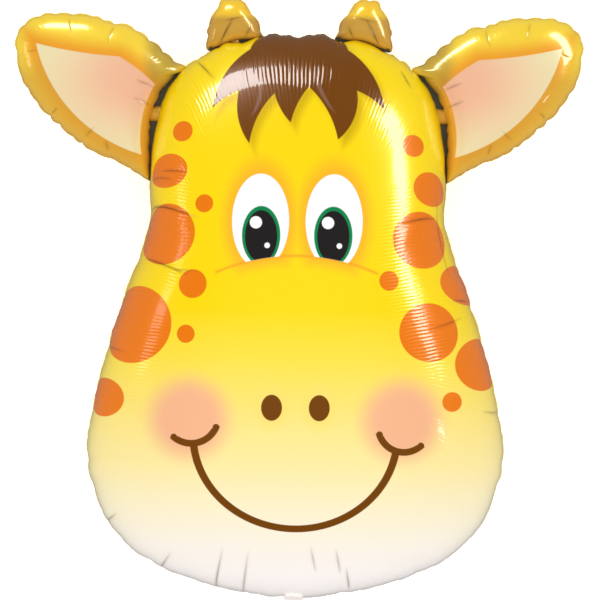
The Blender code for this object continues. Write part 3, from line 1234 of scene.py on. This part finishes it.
def stroke(tree, place, centre, radii, width, limit, turn):
    """The lower part of an ellipse's line, up to a height, with round ends."""
    pivot = {
        "Vector": place,
        "Center": (centre[0] * MM, centre[1] * MM, 0),
        "Angle": -math.radians(turn),
    }
    turned = add(tree, "VectorRotate", pivot, rotation_type="Z_AXIS")
    line = outlined(tree, disc(tree, turned, centre, radii), width)
    height = add(tree, "SeparateXYZ", [turned], output="Y")
    below = add(tree, "Math", [limit * MM, height], operation="SUBTRACT")
    half = radii[0] * math.sqrt(1 - ((limit - centre[1]) / radii[1]) ** 2)
    ends = [disc(tree, turned, (centre[0] + side * half, limit), width / 2) for side in (-1, 1)]
    return joined(tree, [shared(tree, [line, below]), *ends])


def nose_and_smile(tree, colour, place, mirror):
    """Two nostrils with a light rim, and the smile with a dimple at each end."""
    nostril = disc(tree, mirror, *NOSTRIL)
    colour = paint(tree, colour, "#FFE070", grown(tree, nostril, 8), blur=7, strength=0.6)
    colour = paint(tree, colour, BROWN, nostril)
    lines = [stroke(tree, place, *line) for line in SMILE_LINES]
    return paint(tree, colour, BROWN, joined(tree, lines))


# %% The forelock
CROWN_HAIR = ((0, 724), (66, 44))
# Corners, each with the bulge of the side that follows it. The side lock is on both sides
SIDE_LOCK = ((52, 681, -7), (113, 651, 12), (60, 735, 1))
MIDDLE_LOCKS = (
    ((-68, 700, 15), (-64, 604, -12), (-8, 690, 1)),
    ((-34, 690, 6), (-10, 632, -5), (22, 690, 1)),
    ((2, 690, -9), (52, 610, 17), (68, 700, 1)),
)
SHEENS = (((20, 706, 7), (48, 646, -2)), ((-52, 692, -3), (-62, 640, 8)))
# The printed shadow lies a little to the right of the locks and below them
SHADOW_SHIFT = (-7 * MM, 9 * MM, 0)


def forelock(tree, place):
    """Pointed locks that hang from the crown."""
    mirror = add(tree, "VectorMath", [place], operation="ABSOLUTE")
    hair = [disc(tree, place, *CROWN_HAIR), bounded(tree, mirror, *SIDE_LOCK)]
    return joined(tree, hair + [bounded(tree, place, *lock) for lock in MIDDLE_LOCKS])


def brown_hair(tree, colour, place):
    """The forelock with its printed shadow and two paler sheens."""
    below = add(tree, "VectorMath", [place, SHADOW_SHIFT], operation="ADD")
    colour = paint(tree, colour, "#C9A000", forelock(tree, below), blur=8, strength=0.7)
    colour = paint(tree, colour, BROWN, forelock(tree, place))
    sheens = joined(tree, [bounded(tree, place, *sheen) for sheen in SHEENS])
    return paint(tree, colour, "#8C6250", sheens, blur=1, strength=0.9)


# %% The whole face
CHEEK = ((139, 243), 50)


def face_print(tree, place, film):
    """Everything that is printed on the front of the head."""
    mirror = add(tree, "VectorMath", [place], operation="ABSOLUTE")
    cheeks = disc(tree, mirror, *CHEEK)
    colour = paint(tree, ground(tree, place), "#F8B48F", cheeks, blur=20, strength=0.92)
    colour = paint(tree, colour, SPOT_ORANGE, spots(tree, place, film))
    colour = eyes(tree, colour, place, mirror)
    colour = nose_and_smile(tree, colour, place, mirror)
    return brown_hair(tree, colour, place)


print(len(SPOTS), "spots on the face, and", 2 + len(MIDDLE_LOCKS), "locks")

# %% [markdown]
# ## The prints on the back, the ears and the horns
#
# The back isn't in the photograph. It is plainer: the same ground and spots, with no face. An
# ear has a yellow rim that deepens to amber at the edge of a pink and cream leaf, with painted
# shade on its lower rim and at its root. The horns are ochre with a brighter tip, partly print
# and partly painted shade below and painted light at the tip.

# %% The back: middles and radii of its spots
BACK_SPOTS = (
    (-62, 642, 20),
    (74, 608, 27),
    (-148, 588, 24),
    (150, 520, 30),
    (-12, 532, 34),
    (-160, 470, 36),
    (62, 430, 26),
    (196, 412, 40),
    (-78, 380, 30),
    (-226, 330, 44),
    (128, 300, 36),
    (12, 272, 24),
    (258, 236, 34),
    (-132, 226, 28),
)


def back_print(tree, place, film):
    """The same ground with plain round spots, none of them near the weld."""
    rounds = joined(tree, [disc(tree, film, (x, y), radius) for x, y, radius in BACK_SPOTS])
    return paint(tree, ground(tree, place), SPOT_ORANGE, rounds)


print(len(BACK_SPOTS), "spots on the back")

# %% An ear: corners with the bulge of the side that follows, and discs
EAR_LEAF = ((209, 591, 28), (351, 738, -3), (240, 721, 2), (192, 685, -8))
EAR_UNDERSIDE_SHADE = ((170, 520, 40), (400, 700, 40), (180, 640, 1))
EAR_ROOT_SHADE = ((180, 712), (24, 60))
EAR_BLUSH = ((205, 690), (92, 60))


def ear_print_and_shade(tree, place, film):
    """A yellow rim, amber beside a pink leaf, with painted shade below and at the root."""
    mirror = add(tree, "VectorMath", [place], operation="ABSOLUTE")
    leaf = bounded(tree, mirror, *EAR_LEAF)
    beyond = grown(tree, outside(tree, leaf), -13)
    rim = paint(tree, linear("#F2A02A"), "#FCD83E", beyond, blur=14)
    # Painted shade: the lower rim is darker, as the light comes from above
    underside_shade = bounded(tree, mirror, *EAR_UNDERSIDE_SHADE)
    rim = paint(tree, rim, "#DBA53A", underside_shade, blur=26, strength=0.7)
    # Painted shade at the root, beside the dark web
    root = disc(tree, mirror, *EAR_ROOT_SHADE)
    rim = paint(tree, rim, "#A98B3C", root, blur=12, strength=0.65)
    blush = disc(tree, mirror, *EAR_BLUSH)
    inside = paint(tree, linear("#F1E4B2"), "#F3BA98", blush, blur=46)
    return paint(tree, rim, inside, leaf)


# %% A horn
# The tip brightens between these heights, partly print and partly painted light from above
TIP_FROM, TIP_TO = HEAD_HEIGHT + 14 * MM, HEAD_HEIGHT + 26 * MM


def horn_print_and_shading(tree, place, film):
    """Ochre below and a brighter yellow tip: print, with painted shade below and painted light on the
    tip.
    """
    up = add(tree, "SeparateXYZ", [place], output="Y")
    tip = {"Value": up, "From Min": TIP_FROM, "From Max": TIP_TO}
    share = add(tree, "MapRange", tip, interpolation_type="SMOOTHSTEP")
    return add(tree, "Mix", {0: share, 6: linear("#D0A040"), 7: linear("#FFCF38")}, **OF_COLOURS)


# %% [markdown]
# ## The five finishes
#
# All are the same metallised polyester, and differ in print, in painted shade and in how much
# metal shows.
# They are in the order of the numbers that the faces of the mesh were given.

# %% Make the materials, and put them on the skin
ear_folds = EAR_FOLDS + mirrored_folds(EAR_FOLDS)
horn_creases = HORN_CREASES + mirrored_folds(HORN_CREASES)
materials = [
    # Ink over the metal: strong, even colour under a clear gloss
    film_material("printed_film_face", face_print, folds=HEAD_FOLDS, combed=True),
    # The same film, with fewer colours
    film_material("printed_film_back", back_print, folds=back_folds, combed=True),
    # No ink: a dull grey metal, painted nearly black as the shade and dark reflection of the gap
    film_material("bare_metallised_web_painted_shade", "#5F5C49", metal=0.3, reach=20),
    # The same ink on the small pieces, which look a little more metallic in the photograph, with
    # painted shade low on the ears and horns and painted light on the horns' tips
    film_material("printed_film_ear", ear_print_and_shade, metal=0.08, folds=ear_folds, calm=0.7, reach=42),
    film_material("printed_film_horn_painted_shading", horn_print_and_shading, metal=0.12, folds=horn_creases, calm=0.7, reach=22),
]
for material in materials:
    head.data.materials.append(material)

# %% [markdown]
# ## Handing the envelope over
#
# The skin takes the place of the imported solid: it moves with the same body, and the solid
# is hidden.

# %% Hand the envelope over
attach(head, "root")
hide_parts("foil_envelope")
print("materials:", [material.name for material in head.data.materials])

# %% [markdown]
# ## The floor
#
# The photograph has a pure white ground without shadows. White paper alone comes out grey
# under soft light, so the paper glows a little, as a light table does. It isn't mirrored in
# the gloss, because the balloon in the photograph mirrors no floor.

# %% Floor
FLOOR_SIZE = 4.0
PAPER = {
    "Base Color": linear("#FDFDFD"),
    "Roughness": 0.9,
    "Emission Color": (1, 1, 1, 1),
    "Emission Strength": 0.45,
}

bm = bmesh.new()
bmesh.ops.create_grid(bm, x_segments=1, y_segments=1, size=FLOOR_SIZE)
floor_mesh = bpy.data.meshes.new("studio_floor")
bm.to_mesh(floor_mesh)
bm.free()
floor = bpy.data.objects.new("studio_floor", floor_mesh)
collection.objects.link(floor)
floor.visible_glossy = False
paper = bpy.data.materials.new("white_paper")
paper.use_nodes = True
for socket, value in PAPER.items():
    paper.node_tree.nodes["Principled BSDF"].inputs[socket].default_value = value
floor_mesh.materials.append(paper)
print("floor:", 2 * FLOOR_SIZE, "m wide")

# %% [markdown]
# ## Lights
#
# Glossy film shows its lamps as highlights, so each highlight in the photograph gets a lamp
# that only the gloss sees: a long one down the right side, small ones on the left side and
# low on the right, and one across the crown. One large lamp overhead lights the colours and
# is kept out of the gloss, where it would lie over the whole face as a grey veil.


# %% Lamps
def softbox(name, place, aim, size, watts, mirrored_in_gloss):
    """A rectangular lamp, which is either mirrored in the gloss or lights the colours."""
    light = bpy.data.lights.new(name, "AREA")
    light.shape = "RECTANGLE"
    light.size, light.size_y = size
    light.energy = watts
    lamp = bpy.data.objects.new(name, light)
    lamp.location = place
    lamp.rotation_euler = (Vector(aim) - Vector(place)).to_track_quat("-Z", "Y").to_euler()
    lamp.visible_glossy = mirrored_in_gloss
    lamp.visible_diffuse = not mirrored_in_gloss
    collection.objects.link(lamp)
    print(f"{name}: {watts} W at {place}")


RIGHT_TEMPLE, LEFT_TEMPLE, LEFT_CROWN = (0.13, 0.1, 0.27), (-0.13, 0.1, 0.27), (-0.1, 0.3, 0.2)
softbox("strip_right", (1.5, 1.05, 1.3), RIGHT_TEMPLE, (1.7, 0.38), 27, True)
softbox("strip_left", (-1.6, 0.45, 0.75), LEFT_TEMPLE, (0.45, 0.3), 1.2, True)
softbox("low_right", (1.5, -0.35, 1.3), RIGHT_TEMPLE, (0.11, 0.13), 0.32, True)
softbox("box_crown", (-0.6, 1.7, 0.95), LEFT_CROWN, (0.8, 0.35), 13, True)
softbox("overhead", (0, 0, 3.2), (0, 0, 0), (3.5, 3.5), 54, False)

# %% The room: even light on the colours, and a dim one in the gloss that fades upwards
ROOM_LIGHT = 0.71
GLOSS_AT_HORIZON, GLOSS_ABOVE = 0.2, 0.04
FADED_AT = 0.6

world = bpy.data.worlds.new("studio")
world.use_nodes = True
room = world.node_tree
room.nodes["Background"].inputs["Color"].default_value = (1, 1, 1, 1)
sky = add(room, "TexCoord", output="Generated")
sky_height = add(room, "SeparateXYZ", [sky], output="Z")
fade = {
    "Value": sky_height,
    "From Max": FADED_AT,
    "To Min": GLOSS_AT_HORIZON,
    "To Max": GLOSS_ABOVE,
}
in_gloss = add(room, "MapRange", fade)
mirrored_ray = add(room, "LightPath", output="Is Glossy Ray")
choice = {"Value": mirrored_ray, "To Min": ROOM_LIGHT, "To Max": in_gloss}
strength = add(room, "MapRange", choice)
room.links.new(strength, room.nodes["Background"].inputs["Strength"])
bpy.context.scene.world = world
bpy.context.scene.view_settings.view_transform = "Standard"
print(f"room light {ROOM_LIGHT} on colours, {GLOSS_AT_HORIZON} to {GLOSS_ABOVE} in the gloss")

# %% [markdown]
# ## The camera
#
# The photograph looks straight at the face, with no visible perspective, so the camera hangs
# high above the balloon with a long lens. Its picture is as wide as the photograph at the
# scale of the balloon's weld, and it has the photograph's slight turn.

# %% Camera
PHOTO_PIXELS = 600
MM_PER_PIXEL = 1.34
# The photograph's middle, in pixels up from the chin and in millimetres across
MIDDLE_UP = 298
MIDDLE_ACROSS = 4.5
ROLL = math.radians(0.6)
CAMERA_RISE = 5.0
SENSOR_WIDTH = 36

camera_data = bpy.data.cameras.new("camera")
camera_data.sensor_width = SENSOR_WIDTH
camera_data.lens = SENSOR_WIDTH * CAMERA_RISE / (PHOTO_PIXELS * MM_PER_PIXEL * MM)
camera = bpy.data.objects.new("camera", camera_data)
camera_y = chin_y + MIDDLE_UP * MM_PER_PIXEL * MM
camera.location = (MIDDLE_ACROSS * MM, camera_y, weld_z + CAMERA_RISE)
camera.rotation_euler = (0, 0, ROLL)
collection.objects.link(camera)
bpy.context.scene.camera = camera
print(f"lens {camera_data.lens:.1f} mm, {CAMERA_RISE} m above the weld")
